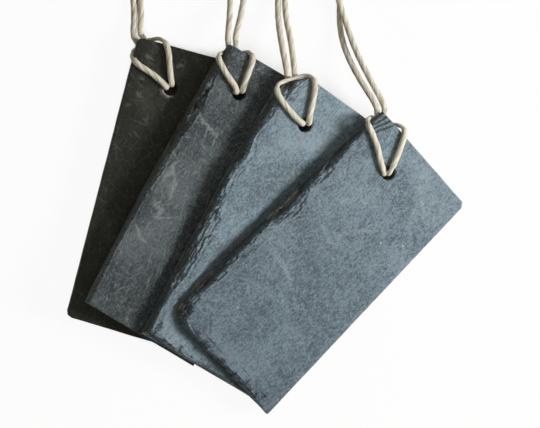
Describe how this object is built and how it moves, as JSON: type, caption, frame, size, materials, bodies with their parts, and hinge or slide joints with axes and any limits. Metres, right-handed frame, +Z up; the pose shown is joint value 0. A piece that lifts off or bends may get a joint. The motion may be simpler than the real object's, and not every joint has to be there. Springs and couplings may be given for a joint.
{
  "type": "slate hanging label set",
  "caption": "Fan of hand-cut slate plates with dressed edges, each hung by a cotton cord loop hitched through a hole at one corner.",
  "frame": {"origin": "middle of the four slates and their hitches in plan, at the table that they rest on", "axes": "+X to the picture's right, +Y to the picture's top where the cords run, +Z up from the table towards the camera"},
  "size_m": [0.1636, 0.2373, 0.0271],
  "materials": {
    "slate_1": "riven slate, near black with an olive cast",
    "slate_2": "riven slate, dark grey",
    "slate_3": "riven slate, blue-grey",
    "slate_4": "riven slate, blue-grey with pale veins",
    "cord": "cream twisted cotton cord"
  },
  "bodies": {
    "label_1": {"slate_1": "slate_1", "hitch_1": "cord"},
    "loop_1": {"loop_1_left": "cord", "loop_1_right": "cord", "knot_1": "cord"},
    "label_2": {"slate_2": "slate_2", "hitch_2": "cord"},
    "loop_2": {"loop_2_left": "cord", "loop_2_right": "cord", "knot_2": "cord"},
    "label_3": {"slate_3": "slate_3", "hitch_3": "cord"},
    "loop_3": {"loop_3_left": "cord", "loop_3_right": "cord", "knot_3": "cord"},
    "label_4": {"slate_4": "slate_4", "hitch_4": "cord"},
    "loop_4": {"loop_4_left": "cord", "loop_4_right": "cord", "knot_4": "cord"}
  },
  "joints": [
    {"name": "loop_1_swing", "type": "hinge", "parent": "label_1", "child": "loop_1", "pos_m": [-0.053, 0.07863, 0.00459], "axis": [0.8649, 0.496, -0.0768], "range_deg": [0, 90]},
    {"name": "label_2_lift", "type": "slide", "parent": "label_1", "child": "label_2", "axis": [0, 0, 1], "range_m": [0, 0.06]},
    {"name": "loop_2_swing", "type": "hinge", "parent": "label_2", "child": "loop_2", "pos_m": [-0.01364, 0.07673, 0.01119], "axis": [0.9605, 0.1805, -0.2119], "range_deg": [0, 90]},
    {"name": "label_3_lift", "type": "slide", "parent": "label_2", "child": "label_3", "axis": [0, 0, 1], "range_m": [0, 0.06]},
    {"name": "loop_3_swing", "type": "hinge", "parent": "label_3", "child": "loop_3", "pos_m": [0.01088, 0.06238, 0.01599], "axis": [0.9607, 0.071, -0.2684], "range_deg": [0, 90]},
    {"name": "label_4_lift", "type": "slide", "parent": "label_3", "child": "label_4", "axis": [0, 0, 1], "range_m": [0, 0.06]},
    {"name": "loop_4_swing", "type": "hinge", "parent": "label_4", "child": "loop_4", "pos_m": [0.04765, 0.04882, 0.01509], "axis": [0.9678, 0.1028, -0.2298], "range_deg": [0, 90]}
  ]
}
